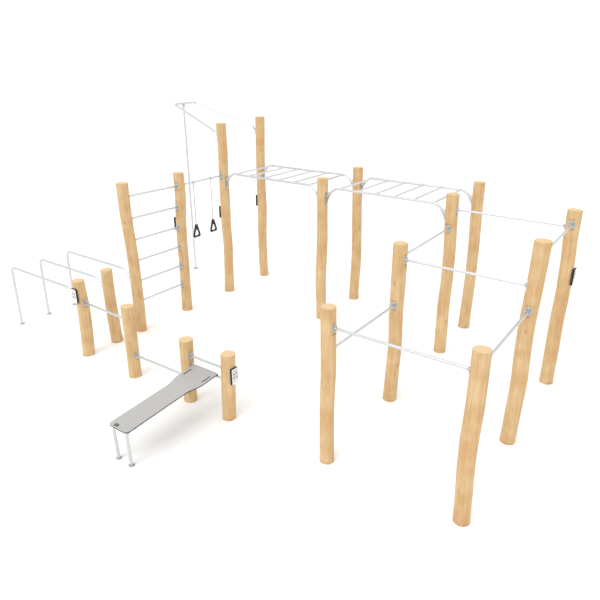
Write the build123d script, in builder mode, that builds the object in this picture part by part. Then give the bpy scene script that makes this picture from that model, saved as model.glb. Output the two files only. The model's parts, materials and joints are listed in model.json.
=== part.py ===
"""Monkey-bar course on natural round posts.

Frame: millimetres, +X along the long side, +Y to the back, +Z up. The origin is on the foot of the
front dip post, where its two grid lines cross. Posts and legs end at the ground surface.
"""
import math
import os

from build123d import *

os.makedirs("parts", exist_ok=True)

# ------------------------------------------------------------------ driving sizes, millimetres
# plan grid of the posts
COL_LADDER = 0.0
COL_LOW = 1190.0
COL_MID = 2355.0
COL_BENCH = 3116.0
COL_INNER = 4661.0
COL_OUTER = 6363.0
ROW_FRONT = 0.0
ROW_DIP = 587.0
ROW_WALL_FRONT = 1111.0
ROW_PULLUP = 1671.0
ROW_WALL_REAR = 2249.0
ROW_MONKEY_FRONT = 3447.0
ROW_MONKEY_REAR = 4604.0

# posts: debarked logs whose heart wanders a little
POST_RADIUS = 95.0
SLIM_POST_RADIUS = 87.0
TRIM_POST_RADIUS = 91.0
POST_SWELL = 2.0
SWELL_LENGTH = 310.0
POST_TOP_ROUND = 9.0
POST_BEND = 90.0  # a crook is eased this far above and below
CROOK_BEARING = 35.4  # degrees from +X: the direction in which the crook is listed
CROSS_SWAY = 9.0
CROSS_WAVE = 2300.0

# bars and frame tubes
BAR_RADIUS = 16.85
BAR_WALL = 3.2
TUBE_RADIUS = 21.2
TUBE_WALL = 3.2
LEG_RADIUS = 19.0

# heights of the straight bars (centre lines)
HIGH_BAR = 2400.0
OUTER_HIGH_BAR = 2450.0
MID_BAR = 2107.0
INNER_MID_BAR = 2117.0
LOW_FRONT_BAR = 1788.0
LOW_INNER_BAR = 1483.0
LOW_OUTER_BAR = 1831.0
RUNG_COUNT = 6
LOWEST_RUNG = 545.0
RUNG_PITCH = 370.4
TOP_RUNG = LOWEST_RUNG + (RUNG_COUNT - 1) * RUNG_PITCH
GRIP_BAR = 2400.0
DIP_SIDE_BAR = 935.0
FOOT_BAR = 370.0
BENCH_REST_BAR = 569.0
BENCH_TOE_RISE = 162.0  # the toe bar's height above the bar that carries the board
BENCH_TOE_BAR = BENCH_REST_BAR + BENCH_TOE_RISE

# fittings on the posts
PLATE = 8.0
DISC_RADIUS = 52.0
DISC_EDGE = 3.0
NECK_WALL = 9.15
NECK_TIP_WALL = 5.65
NECK_LENGTH = 34.0
SOCKET_SEAT = 15.0  # how deep the flat is milled under a socket
SOCKET_MARGIN = 23.0  # flat left above and below a disc
FIT = 0.1
SCREW_HOLE = 4.9
SCREW_SPREAD = 38.0
BRACKET_SEAT = 18.0
BRACKET_WIDTH = 62.0
BRACKET_ABOVE = 44.0
BRACKET_BELOW = 190.0
BRACKET_MARGIN = 14.0
BRACKET_CORNER = 8.0
WEB = 8.0
BRACKET_SCREW_ACROSS = 19.0
BRACKET_SCREW_DROPS = (66.0, 152.0)

# monkey ladders
LADDER_TOP = 2450.0
LADDER_RUNGS = 6
RAIL_OFFSET = -7.0
RAIL_END_RUN = 185.0
RAIL_END_DROP = 130.0
RAIL_BEND = 45.0
RAIL_WEB_REACH = 108.0
RUNG_INSET = 32.0

# dip bars
DIP_TOP = 1105.0
DIP_END_RUN = 260.0
DIP_END_DROP = 140.0
DIP_END_BEND = 260.0
DIP_WEB_REACH = 120.0
DIP_KNEE_X = -1960.0
DIP_LEG_SPLAY = 25.0
DIP_KNEE_BEND = 110.0

# pole frame and sliding pole
POLE_TOP = 3622.0
POLE_FRAME_FRONT_FOOT = POLE_TOP - 557.0
POLE_FRAME_REAR_FOOT = POLE_TOP - 527.0
POLE_END_RUN = 95.0
POLE_END_RISE = 122.0
POLE_END_BEND = 80.0
POLE_WEB_REACH = 46.0
POLE_X = -1540.0
POLE_Y = 4020.0
POLE_FRAME_FRONT = 3769.0
POLE_FRAME_REAR = 4355.0
POLE_FRAME_BEND = 75.0
SLEEVE_WALL = 5.5
SLEEVE_LENGTH = 62.0

# bench
BENCH_X = 2706.0
BENCH_SLOPE = 3.76  # degrees
BOARD_THICK = 15.0
BOARD_LOW_END = -1480.0
BOARD_TOP_END = 26.0
BOARD_NARROW = 336.0
BOARD_WIDE = 444.0
FLARE_START = -555.0
FLARE_END = -270.0
BOARD_CORNER = 55.0
SLOT_LENGTH = 155.0
SLOT_WIDTH = 18.0
SLOT_INSET = 49.0
SLOT_MIDDLE = -168.0
LEG_INSET = 51.0  # from the board's side to a leg's line
LEG_SPREAD = BOARD_NARROW / 2 - LEG_INSET
LEG_KNEE_Y = BOARD_LOW_END + 30.0
LEG_FOOT_Y = LEG_KNEE_Y + 25.0
LEG_BEND = 75.0
LEG_TAIL = 300.0
LEG_STRAPS = (0.35, 0.8)  # shares of a leg's straight tail
STRAP_GAP = 0.5  # between a strapped tube and the board
STRAP_PLAY = 0.15  # between a strap's ears and the board
STRAP = 3.0
STRAP_EAR = 22.0
STRAP_WIDTH = 30.0
WOOD_SCREW_RADIUS = 2.4
WOOD_SCREW_LENGTH = 14.0
WOOD_SCREW_HEAD = 3.0
WOOD_SCREW_HEAD_RADIUS = 5.5
WOOD_SCREW_PLAY = 1.0

# ground flanges: radius of each kind, one height
DIP_FLANGE = 46.0
POLE_FLANGE = 60.0
LEG_FLANGE = 37.0
FLANGE = 6.0

# sign boards
SIGN_SEAT = 4.0
SIGN_WIDTH = 125.0
SIGN_HEIGHT = 235.0
SIGN_THICK = 28.0
SIGN_CORNER = 14.0
SIGN_EDGE = 1.5
SIGN_PLAY = 1.0
DIP_SIGN_DROP = 230.0
BENCH_SIGN_DROP = 293.0
FACE_MARGIN = 5.0
FACE_THICK = 3.0

# hanging grips
GRIP_SPACING = 462.0
GRIP_SHIFT = 1.0  # of the pair, from the middle of its bay
GRIP_MIDDLE = (ROW_WALL_REAR + ROW_MONKEY_FRONT) / 2 + GRIP_SHIFT
FRONT_GRIP_Y = GRIP_MIDDLE - GRIP_SPACING / 2
REAR_GRIP_Y = GRIP_MIDDLE + GRIP_SPACING / 2
GRIP_PIVOT = 1600.0
TURN_GAP = 0.4
HANGER_WALL = 10.75
HANGER_WIDTH = 34.0
HANGER_NECK = 13.0
HANGER_DROP = 58.0
FERRULE_RADIUS = 12.0
FERRULE_LENGTH = 48.0
ROPE_RADIUS = 8.0
EYE_RADIUS = 14.0
EYE_THICK = 11.6
EYE_FLOOR = 36.0
SLEEVE_START = 31.0
EYE_TOP = 72.0
HANDLE_TOP = 16.0
HANDLE_BOTTOM = 235.0
HANDLE_HEAD = 48.0
HANDLE_BASE = 206.0
HANDLE_THICK = 32.0
HANDLE_BAR = 33.0
HANDLE_ROUND = 9.0
OPENING_TOP = 92.0
OPENING_TIP = 44.0
OPENING_BASE = 122.0
HEAD_SLOT = 12.4
HEAD_SLOT_DROP = 22.0
PIN_RADIUS = 5.0
PIN_HEAD_RADIUS = 8.0
PIN_HEAD = 3.0

# ------------------------------------------------------------------ the posts and their hearts
# name: (column, row, radius, top, crook)
# top stands clear of the highest bar on the post
# crook lists (height, shift of the heart) along the log, and is stretched to the top
POSTS = {
    "wall_ladder_post_front": (COL_LADDER, ROW_WALL_FRONT, POST_RADIUS, TOP_RUNG + 233, (
        (0, 8), (600, 8), (1200, 8), (1600, 0), (2000, -23), (2300, -33), (2630, -33))),
    "wall_ladder_post_rear": (COL_LADDER, ROW_WALL_REAR, POST_RADIUS, max(TOP_RUNG, GRIP_BAR) + 226, (
        (0, -3), (800, 9), (1600, 15), (2000, 31), (2300, 48), (2626, 36))),
    "pole_post_front": (COL_LADDER, ROW_MONKEY_FRONT, POST_RADIUS, POLE_FRAME_FRONT_FOOT + 305, (
        (0, 10), (560, 28), (1060, 36), (1300, 19), (1800, 18), (2550, 15), (2900, 26), (3370, 13))),
    "pole_post_rear": (COL_LADDER, ROW_MONKEY_REAR, POST_RADIUS, POLE_FRAME_REAR_FOOT + 303, (
        (0, 18), (570, 0), (1000, 2), (1570, 15), (1900, 2), (2580, 0), (3398, 12))),
    "mid_post_front": (COL_MID, ROW_MONKEY_FRONT, POST_RADIUS, LADDER_TOP + 160, (
        (0, -26), (440, -40), (830, -50), (1220, -36), (1500, -29), (1900, -37), (2610, -41))),
    "mid_post_rear": (COL_MID, ROW_MONKEY_REAR, POST_RADIUS, LADDER_TOP + 174, (
        (0, -7), (440, 2), (830, 19), (1410, 4), (2000, -14), (2624, -19))),
    "end_post_front": (COL_INNER, ROW_MONKEY_FRONT, POST_RADIUS, max(LADDER_TOP, HIGH_BAR) + 180, (
        (0, 14), (440, 13), (830, 2), (1220, 13), (1800, 4), (2200, -21), (2630, -29))),
    "end_post_rear": (COL_INNER, ROW_MONKEY_REAR, POST_RADIUS, LADDER_TOP + 170, (
        (0, -8), (830, 8), (1600, -5), (2000, -23), (2620, -30))),
    "pullup_post_middle": (COL_INNER, ROW_PULLUP, POST_RADIUS, max(MID_BAR, INNER_MID_BAR) + 203, (
        (0, 2), (560, 13), (910, 26), (1250, 5), (1880, 9), (2320, 6))),
    "pullup_post_front": (COL_INNER, ROW_FRONT, SLIM_POST_RADIUS, max(LOW_FRONT_BAR, LOW_INNER_BAR) + 242, (
        (0, 15), (420, 6), (800, 1), (1250, 10), (1700, 1), (2030, -6))),
    "outer_post_front": (COL_OUTER, ROW_FRONT, TRIM_POST_RADIUS, max(LOW_FRONT_BAR, LOW_OUTER_BAR) + 199, (
        (0, 2), (490, -20), (800, -33), (1100, -30), (1350, -16), (2030, -25))),
    "outer_post_middle": (COL_OUTER, ROW_PULLUP, POST_RADIUS, max(OUTER_HIGH_BAR, MID_BAR) + 200, (
        (0, -28), (440, -17), (840, 2), (1230, -17), (1620, -26), (2000, -15), (2650, -2))),
    "outer_post_rear": (COL_OUTER, ROW_MONKEY_FRONT, POST_RADIUS, max(HIGH_BAR, OUTER_HIGH_BAR) + 182, (
        (0, 9), (500, 11), (1030, 2), (1420, 7), (2000, -16), (2250, -36), (2632, -35))),
    "dip_post_front": (COL_LADDER, ROW_FRONT, POST_RADIUS, max(DIP_TOP, DIP_SIDE_BAR) + 195, (
        (0, 14), (320, 29), (800, 47), (1300, 28))),
    "dip_post_middle": (COL_LADDER, ROW_DIP, POST_RADIUS, DIP_TOP + 205, (
        (0, -2), (500, -17), (1000, -22), (1310, -17))),
    "low_bar_post": (COL_LOW, ROW_FRONT, POST_RADIUS, max(DIP_SIDE_BAR, FOOT_BAR) + 233, (
        (0, -9), (460, 0), (850, 4), (1168, 0))),
    "bench_post_left": (COL_MID, ROW_FRONT, POST_RADIUS, max(BENCH_TOE_BAR, FOOT_BAR) + 230, (
        (0, 12), (450, 9), (961, 12))),
    "bench_post_right": (COL_BENCH, ROW_FRONT, POST_RADIUS, BENCH_TOE_BAR + 237, (
        (0, -9), (460, 0), (968, 16))),
}
ORDER = list(POSTS)
UP = Vector(0, 0, 1)
ALONG = Vector(math.cos(math.radians(CROOK_BEARING)), math.sin(math.radians(CROOK_BEARING)), 0)
ACROSS = UP.cross(ALONG)


def eased(top, crook):
    """A crook stretched to the top, with each inner point cut by a short straight."""
    stretch = top / crook[-1][0]
    crook = [(z * stretch, shift) for z, shift in crook]
    points = [crook[0]]
    for (low, at_low), (z, at), (high, at_high) in zip(crook, crook[1:], crook[2:]):
        reach = min(POST_BEND, (z - low) / 3, (high - z) / 3)
        points.append((z - reach, at + (at_low - at) * reach / (z - low)))
        points.append((z + reach, at + (at_high - at) * reach / (high - z)))
    return points + [crook[-1]]


CROOKS = {name: eased(*post[3:]) for name, post in POSTS.items()}


def heart(name, z):
    """Centre of a post at height z."""
    column, row = POSTS[name][:2]
    crook = CROOKS[name]
    shift = crook[-1][1]
    for (low, at_low), (high, at_high) in zip(crook, crook[1:]):
        if z <= high:
            shift = at_low + (at_high - at_low) * (z - low) / (high - low)
            break
    phase = ORDER.index(name)
    sway = CROSS_SWAY * (math.sin(2 * math.pi * z / CROSS_WAVE + phase) - math.sin(phase))
    return Vector(column, row, z) + ALONG * shift + ACROSS * sway


def post_radius(name, z):
    """Radius of a post at height z: logs swell and narrow slightly, about every two metres."""
    return POSTS[name][2] + POST_SWELL * math.sin(z / SWELL_LENGTH + ORDER.index(name))


# ------------------------------------------------------------------ seats milled into the posts
# every entry: (plane on the flat, notch height, middle of the notch)
seats = {name: [] for name in POSTS}
socket_planes = []
wood_screw_planes = []


def facing(name, z, outward, depth):
    """Plane of a flat at height z: z axis out of the post, y axis up."""
    outward = Vector(outward.X, outward.Y, 0).normalized()
    origin = heart(name, z) + outward * (post_radius(name, z) - depth)
    return Plane(origin=origin, x_dir=UP.cross(outward), z_dir=outward)


def bar_seat(name, far_name, z):
    """Flat and socket for a straight bar that runs to another post."""
    plane = facing(name, z, heart(far_name, z) - heart(name, z), SOCKET_SEAT)
    seats[name].append((plane, 2 * (DISC_RADIUS + SOCKET_MARGIN), 0))
    socket_planes.append(plane)
    return plane


def bracket_seat(name, plane):
    """Flat for a plate-and-web bracket."""
    notch = BRACKET_ABOVE + BRACKET_BELOW + 2 * BRACKET_MARGIN
    seats[name].append((plane, notch, (BRACKET_ABOVE - BRACKET_BELOW) / 2))
    return plane


def save(piece, name):
    """Label a finished piece and write it as its own node."""
    piece.part.label = name
    export_step(piece.part, f"parts/{name}.step")


# ------------------------------------------------------------------ straight bars
def make_bars(name, runs):
    """Straight tubes; each run is (post, far post, height)."""
    with BuildPart() as bars:
        for near, far, z in runs:
            start = bar_seat(near, far, z)
            end = bar_seat(far, near, z)
            with BuildSketch(start.offset(PLATE)):
                Circle(BAR_RADIUS)
                Circle(BAR_RADIUS - BAR_WALL, mode=Mode.SUBTRACT)
            extrude(amount=(end.origin - start.origin).length - 2 * PLATE)
    save(bars, name)


make_bars("pullup_bar_high_rear", [("end_post_front", "outer_post_rear", HIGH_BAR)])
make_bars("pullup_bar_high_outer", [("outer_post_middle", "outer_post_rear", OUTER_HIGH_BAR)])
make_bars("pullup_bar_mid_front", [("pullup_post_middle", "outer_post_middle", MID_BAR)])
make_bars("pullup_bar_mid_inner", [("pullup_post_middle", "end_post_front", INNER_MID_BAR)])
make_bars("pullup_bar_low_front", [("pullup_post_front", "outer_post_front", LOW_FRONT_BAR)])
make_bars("pullup_bar_low_inner", [("pullup_post_front", "pullup_post_middle", LOW_INNER_BAR)])
make_bars("pullup_bar_low_outer", [("outer_post_front", "outer_post_middle", LOW_OUTER_BAR)])
make_bars("wall_ladder_rungs", [
    ("wall_ladder_post_front", "wall_ladder_post_rear", LOWEST_RUNG + step * RUNG_PITCH)
    for step in range(RUNG_COUNT)])
make_bars("grip_bar", [("wall_ladder_post_rear", "pole_post_front", GRIP_BAR)])
make_bars("low_bars", [
    ("dip_post_front", "low_bar_post", DIP_SIDE_BAR), ("low_bar_post", "bench_post_left", FOOT_BAR)])
make_bars("bench_bars", [
    ("bench_post_left", "bench_post_right", z) for z in (BENCH_TOE_BAR, BENCH_REST_BAR)])

with BuildPart() as socket:
    with BuildSketch(Plane.XZ):
        with BuildLine():
            Polyline((0, 0), (DISC_RADIUS, 0), (DISC_RADIUS, PLATE - DISC_EDGE),
                     (DISC_RADIUS - DISC_EDGE, PLATE), (BAR_RADIUS + NECK_WALL, PLATE),
                     (BAR_RADIUS + NECK_TIP_WALL, NECK_LENGTH), (BAR_RADIUS + FIT, NECK_LENGTH),
                     (BAR_RADIUS + FIT, PLATE), (0, PLATE), close=True)
        make_face()
    revolve(axis=Axis.Z)
    with BuildSketch():
        with Locations((0, SCREW_SPREAD), (0, -SCREW_SPREAD)):
            Circle(SCREW_HOLE)
    extrude(amount=PLATE, mode=Mode.SUBTRACT)

with BuildPart() as bar_sockets:
    with Locations(*[plane.location for plane in socket_planes]):
        add(socket.part)
save(bar_sockets, "bar_sockets")


# ------------------------------------------------------------------ swan-necked tube ends
def tube_along(path, radius, wall, cuts):
    """Bent tube along a wire, trimmed flush by cut planes that face into the tube."""
    with BuildPart() as tube:
        with BuildSketch(Plane(origin=path @ 0, z_dir=path % 0)):
            Circle(radius)
            Circle(radius - wall, mode=Mode.SUBTRACT)
        sweep(path=path)
        for cut in cuts:
            with BuildSketch(cut):
                Rectangle(8 * radius, 8 * radius)
            extrude(amount=-8 * radius, mode=Mode.SUBTRACT)
    return tube


def swan_neck(plane, run, rise):
    """Points of a tube end that rises out of a post: inside the post, and the bend."""
    slope = plane.z_dir * run + UP * rise
    face = plane.offset(PLATE).origin
    return face - slope * (2 * TUBE_RADIUS / slope.length), face + slope


def make_bracket(run, rise, reach):
    """Plate with a web under a rising tube; local z out of the post, local y up."""
    with BuildPart() as bracket:
        with BuildSketch():
            with Locations((0, (BRACKET_ABOVE - BRACKET_BELOW) / 2)):
                RectangleRounded(BRACKET_WIDTH, BRACKET_ABOVE + BRACKET_BELOW, BRACKET_CORNER)
        extrude(amount=PLATE)
        with BuildSketch():
            for side in (-1, 1):
                with Locations(*[(side * BRACKET_SCREW_ACROSS, -drop) for drop in BRACKET_SCREW_DROPS]):
                    Circle(SCREW_HOLE)
        extrude(amount=PLATE, mode=Mode.SUBTRACT)
        steepness = rise / run
        below = TUBE_RADIUS * math.hypot(1, steepness)
        top = -below
        tip = reach * steepness - below
        foot = -(BRACKET_BELOW - BRACKET_MARGIN)
        with BuildSketch(Plane.YZ.offset(-WEB / 2)):
            with BuildLine():
                Line((foot, PLATE), (top, PLATE))
                Line((top, PLATE), (tip, PLATE + reach))
                ThreePointArc((tip, PLATE + reach),
                              ((tip + foot) / 2 + reach / 10, PLATE + 0.36 * reach), (foot, PLATE))
            make_face()
        extrude(amount=WEB)
    return bracket


bracket_places = []

# ------------------------------------------------------------------ monkey ladders
LADDERS = {
    "monkey_ladder_1": (("pole_post_front", "mid_post_front"), ("pole_post_rear", "mid_post_rear")),
    "monkey_ladder_2": (("mid_post_front", "end_post_front"), ("mid_post_rear", "end_post_rear")),
}
rail_bracket = make_bracket(RAIL_END_RUN, RAIL_END_DROP, RAIL_WEB_REACH)
RAIL_ROWS = (ROW_MONKEY_FRONT + RAIL_OFFSET, ROW_MONKEY_REAR + RAIL_OFFSET)


def rail_seat(name, direction, row):
    """Flat for a rail end, on the rail's own line."""
    plane = facing(name, LADDER_TOP - RAIL_END_DROP, Vector(direction, 0, 0), BRACKET_SEAT)
    plane.origin = Vector(plane.origin.X, row, plane.origin.Z)
    bracket_places.append((plane, rail_bracket))
    return bracket_seat(name, plane)


for ladder, sides in LADDERS.items():
    bend_starts = []
    bend_ends = []
    for (left_post, right_post), row, side in zip(sides, RAIL_ROWS, ("front", "rear")):
        left = rail_seat(left_post, 1, row)
        right = rail_seat(right_post, -1, row)
        left_tail, left_bend = swan_neck(left, RAIL_END_RUN, RAIL_END_DROP)
        right_tail, right_bend = swan_neck(right, RAIL_END_RUN, RAIL_END_DROP)
        bend_starts.append(left_bend.X)
        bend_ends.append(right_bend.X)
        with BuildLine() as rail_line:
            FilletPolyline(left_tail, left_bend, right_bend, right_tail, radius=RAIL_BEND)
        rail = tube_along(rail_line.line, TUBE_RADIUS, TUBE_WALL, [left.offset(PLATE), right.offset(PLATE)])
        save(rail, f"{ladder}_rail_{side}")
    first = max(bend_starts) + RUNG_INSET
    last = min(bend_ends) - RUNG_INSET
    pitch = (last - first) / (LADDER_RUNGS - 1)
    with BuildPart() as rungs:
        for step in range(LADDER_RUNGS):
            rung_start = Plane(origin=(first + step * pitch, RAIL_ROWS[0], LADDER_TOP), z_dir=(0, 1, 0))
            with BuildSketch(rung_start):
                Circle(BAR_RADIUS)
                Circle(BAR_RADIUS - BAR_WALL, mode=Mode.SUBTRACT)
            extrude(amount=RAIL_ROWS[1] - RAIL_ROWS[0])
        for row in RAIL_ROWS:
            with BuildSketch(Plane(origin=(first - DISC_RADIUS, row, LADDER_TOP), z_dir=(1, 0, 0))):
                Circle(TUBE_RADIUS)
            extrude(amount=last - first + 2 * DISC_RADIUS, mode=Mode.SUBTRACT)
    save(rungs, f"{ladder}_rungs")

# ------------------------------------------------------------------ dip bars
dip_bracket = make_bracket(DIP_END_RUN, DIP_END_DROP, DIP_WEB_REACH)
flange_places = []
for name, side in (("dip_post_front", "front"), ("dip_post_middle", "middle"),
                   ("wall_ladder_post_front", "rear")):
    plane = bracket_seat(name, facing(name, DIP_TOP - DIP_END_DROP, Vector(-1, 0, 0), BRACKET_SEAT))
    bracket_places.append((plane, dip_bracket))
    tail, bend = swan_neck(plane, DIP_END_RUN, DIP_END_DROP)
    knee = Vector(DIP_KNEE_X, bend.Y, DIP_TOP)
    foot = Vector(DIP_KNEE_X - DIP_LEG_SPLAY, bend.Y, 0)
    leg_way = (foot - knee).normalized()
    flange_places.append((foot, leg_way, TUBE_RADIUS, DIP_FLANGE))
    with BuildLine() as dip_line:
        FilletPolyline(tail, bend, knee, foot + leg_way * TUBE_RADIUS,
                       radius=[DIP_END_BEND, DIP_KNEE_BEND])
    dip_bar = tube_along(dip_line.line, TUBE_RADIUS, TUBE_WALL,
                         [plane.offset(PLATE), Plane(origin=foot, z_dir=(0, 0, 1))])
    save(dip_bar, f"dip_bar_{side}")

# ------------------------------------------------------------------ pole frame, pole, sleeve
pole_bracket = make_bracket(POLE_END_RUN, POLE_END_RISE, POLE_WEB_REACH)
frame_front = Vector(POLE_X, POLE_FRAME_FRONT, POLE_TOP)
frame_rear = Vector(POLE_X, POLE_FRAME_REAR, POLE_TOP)
frame_ends = []
for name, corner, foot_height in (("pole_post_front", frame_front, POLE_FRAME_FRONT_FOOT),
                                  ("pole_post_rear", frame_rear, POLE_FRAME_REAR_FOOT)):
    outward = corner - heart(name, foot_height)
    plane = bracket_seat(name, facing(name, foot_height, outward, BRACKET_SEAT))
    bracket_places.append((plane, pole_bracket))
    frame_ends.append((plane, *swan_neck(plane, POLE_END_RUN, POLE_END_RISE)))
(front_plane, front_tail, front_bend), (rear_plane, rear_tail, rear_bend) = frame_ends
with BuildLine() as frame_line:
    FilletPolyline(front_tail, front_bend, frame_front, frame_rear, rear_bend, rear_tail,
                   radius=[POLE_END_BEND, POLE_FRAME_BEND, POLE_FRAME_BEND, POLE_END_BEND])
pole_frame = tube_along(frame_line.line, TUBE_RADIUS, TUBE_WALL,
                        [front_plane.offset(PLATE), rear_plane.offset(PLATE)])
save(pole_frame, "pole_frame")

end_bar = Plane(origin=frame_front, z_dir=(0, 1, 0))
end_bar_length = POLE_FRAME_REAR - POLE_FRAME_FRONT
with BuildPart() as sliding_pole:
    with BuildSketch(Plane.XY):
        with Locations((POLE_X, POLE_Y)):
            Circle(TUBE_RADIUS)
            Circle(TUBE_RADIUS - TUBE_WALL, mode=Mode.SUBTRACT)
    extrude(amount=POLE_TOP)
    with BuildSketch(end_bar):
        Circle(TUBE_RADIUS)
    extrude(amount=end_bar_length, mode=Mode.SUBTRACT)
save(sliding_pole, "sliding_pole")

with BuildPart() as pole_sleeve:
    with BuildSketch(Plane.XY.offset(POLE_TOP - SLEEVE_LENGTH)):
        with Locations((POLE_X, POLE_Y)):
            Circle(TUBE_RADIUS + SLEEVE_WALL)
            Circle(TUBE_RADIUS + FIT, mode=Mode.SUBTRACT)
    extrude(amount=SLEEVE_LENGTH)
    with BuildSketch(end_bar):
        Circle(TUBE_RADIUS)
    extrude(amount=end_bar_length, mode=Mode.SUBTRACT)
save(pole_sleeve, "pole_sleeve")
flange_places.append((Vector(POLE_X, POLE_Y, 0), Vector(0, 0, -1), TUBE_RADIUS, POLE_FLANGE))

# ------------------------------------------------------------------ bench
slope = math.radians(BENCH_SLOPE)
rest_left = heart("bench_post_left", BENCH_REST_BAR)
rest_right = heart("bench_post_right", BENCH_REST_BAR)
rest_middle = Vector(BENCH_X, (rest_left.Y + rest_right.Y) / 2, BENCH_REST_BAR)
bar_way = (rest_right - rest_left).normalized()
bar_axis_plane = Plane(origin=rest_middle, x_dir=(1, 0, 0), z_dir=(0, -math.sin(slope), math.cos(slope)))
under_board = bar_axis_plane.offset(BAR_RADIUS + STRAP_GAP)
leg_plane = under_board.offset(-(LEG_RADIUS + STRAP_GAP))

strap_places = []
for x in (-LEG_SPREAD, LEG_SPREAD):
    share = (BENCH_X + x - rest_left.X) / (rest_right.X - rest_left.X)
    strap_places.append((Plane(origin=rest_left + (rest_right - rest_left) * share,
                               x_dir=bar_axis_plane.z_dir.cross(bar_way), z_dir=bar_way), BAR_RADIUS))
    for tail in LEG_STRAPS:
        spot = Vector(x, BOARD_LOW_END + LEG_BEND + tail * (LEG_TAIL - LEG_BEND), 0)
        strap_places.append((Plane(origin=leg_plane.from_local_coords(spot),
                                   x_dir=(-1, 0, 0), z_dir=leg_plane.y_dir), LEG_RADIUS))


def strap_height(plane):
    """Distance from a strapped tube's centre line up to the strap's face under the board."""
    return -under_board.to_local_coords(plane.origin).Z - STRAP_PLAY


def strap_holes(plane, radius):
    """Places of the two wood screws of a strap, on the outside of its ears, pointing down."""
    ears = []
    for side in (-1, 1):
        across = side * (radius + STRAP + STRAP_EAR / 2)
        ears.append(plane.from_local_coords(Vector(across, strap_height(plane) - STRAP, 0)))
    return [Plane(origin=ear, z_dir=-bar_axis_plane.z_dir) for ear in ears]


with BuildPart() as bench_straps:
    for plane, radius in strap_places:
        outer = radius + STRAP
        underside = strap_height(plane)
        with BuildSketch(plane.offset(-STRAP_WIDTH / 2)):
            Circle(outer)
            with Locations((0, underside / 2)):
                Rectangle(2 * outer, underside)
            with Locations((0, underside - STRAP / 2)):
                Rectangle(2 * (outer + STRAP_EAR), STRAP)
            with Locations((0, outer)):
                Rectangle(4 * outer, 2 * (outer - underside), mode=Mode.SUBTRACT)
            Circle(radius + FIT, mode=Mode.SUBTRACT)
            with Locations((0, underside / 2)):
                Rectangle(2 * (radius + FIT), underside, mode=Mode.SUBTRACT)
        extrude(amount=STRAP_WIDTH)
        for hole in strap_holes(plane, radius):
            wood_screw_planes.append(hole)
            with BuildSketch(hole):
                Circle(WOOD_SCREW_RADIUS + FIT)
            extrude(amount=-STRAP, mode=Mode.SUBTRACT)
save(bench_straps, "bench_straps")

with BuildPart() as bench_board:
    narrow = BOARD_NARROW / 2
    wide = BOARD_WIDE / 2
    with BuildSketch(under_board):
        with BuildLine():
            Polyline((0, BOARD_LOW_END), (narrow, BOARD_LOW_END), (narrow, FLARE_START))
            Spline((narrow, FLARE_START), (wide, FLARE_END), tangents=[(0, 1), (0, 1)])
            Polyline((wide, FLARE_END), (wide, BOARD_TOP_END), (0, BOARD_TOP_END))
            mirror(about=Plane.YZ)
        make_face()
        fillet(vertices().group_by(Axis.Y)[0].sort_by(Axis.X)[0], BOARD_CORNER)
        fillet(vertices().group_by(Axis.Y)[0].sort_by(Axis.X)[-1], BOARD_CORNER)
        fillet(vertices().group_by(Axis.Y)[-1].sort_by(Axis.X)[0], BOARD_CORNER / 2)
        fillet(vertices().group_by(Axis.Y)[-1].sort_by(Axis.X)[-1], BOARD_CORNER / 2)
        with Locations((SLOT_INSET - wide, SLOT_MIDDLE), (wide - SLOT_INSET, SLOT_MIDDLE)):
            SlotOverall(SLOT_LENGTH, SLOT_WIDTH, rotation=90, mode=Mode.SUBTRACT)
    extrude(amount=BOARD_THICK)
    for hole in wood_screw_planes:
        with BuildSketch(hole):
            Circle(WOOD_SCREW_RADIUS + FIT)
        extrude(amount=-(WOOD_SCREW_LENGTH + WOOD_SCREW_PLAY), mode=Mode.SUBTRACT)
save(bench_board, "bench_board")

with BuildPart() as bench_legs:
    for x in (-LEG_SPREAD, LEG_SPREAD):
        foot = Vector(BENCH_X + x, LEG_FOOT_Y, 0)
        low = leg_plane.to_local_coords(Vector(BENCH_X + x, LEG_KNEE_Y, BENCH_REST_BAR))
        knee = leg_plane.from_local_coords(Vector(x, low.Y, 0))
        tail = leg_plane.from_local_coords(Vector(x, low.Y + LEG_TAIL, 0))
        down = (foot - knee).normalized()
        flange_places.append((foot, down, LEG_RADIUS, LEG_FLANGE))
        with BuildLine() as leg_line:
            FilletPolyline(tail, knee, foot + down * LEG_RADIUS, radius=LEG_BEND)
        leg = tube_along(leg_line.line, LEG_RADIUS, TUBE_WALL, [Plane(origin=foot, z_dir=(0, 0, 1))])
        add(leg.part)
save(bench_legs, "bench_legs")

# ------------------------------------------------------------------ ground flanges
with BuildPart() as ground_flanges:
    for foot, way, radius, flange in flange_places:
        with BuildSketch(Plane(origin=foot, z_dir=(0, 0, 1))):
            Circle(flange)
        extrude(amount=FLANGE)
    for foot, way, radius, flange in flange_places:
        with BuildSketch(Plane(origin=foot + way * flange, z_dir=-way)):
            Circle(radius + FIT)
        extrude(amount=2 * flange, mode=Mode.SUBTRACT)
save(ground_flanges, "ground_flanges")

# ------------------------------------------------------------------ brackets, bench screws
with BuildPart() as gusset_brackets:
    for plane, bracket in bracket_places:
        with Locations(plane.location):
            add(bracket.part)
save(gusset_brackets, "gusset_brackets")


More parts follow.
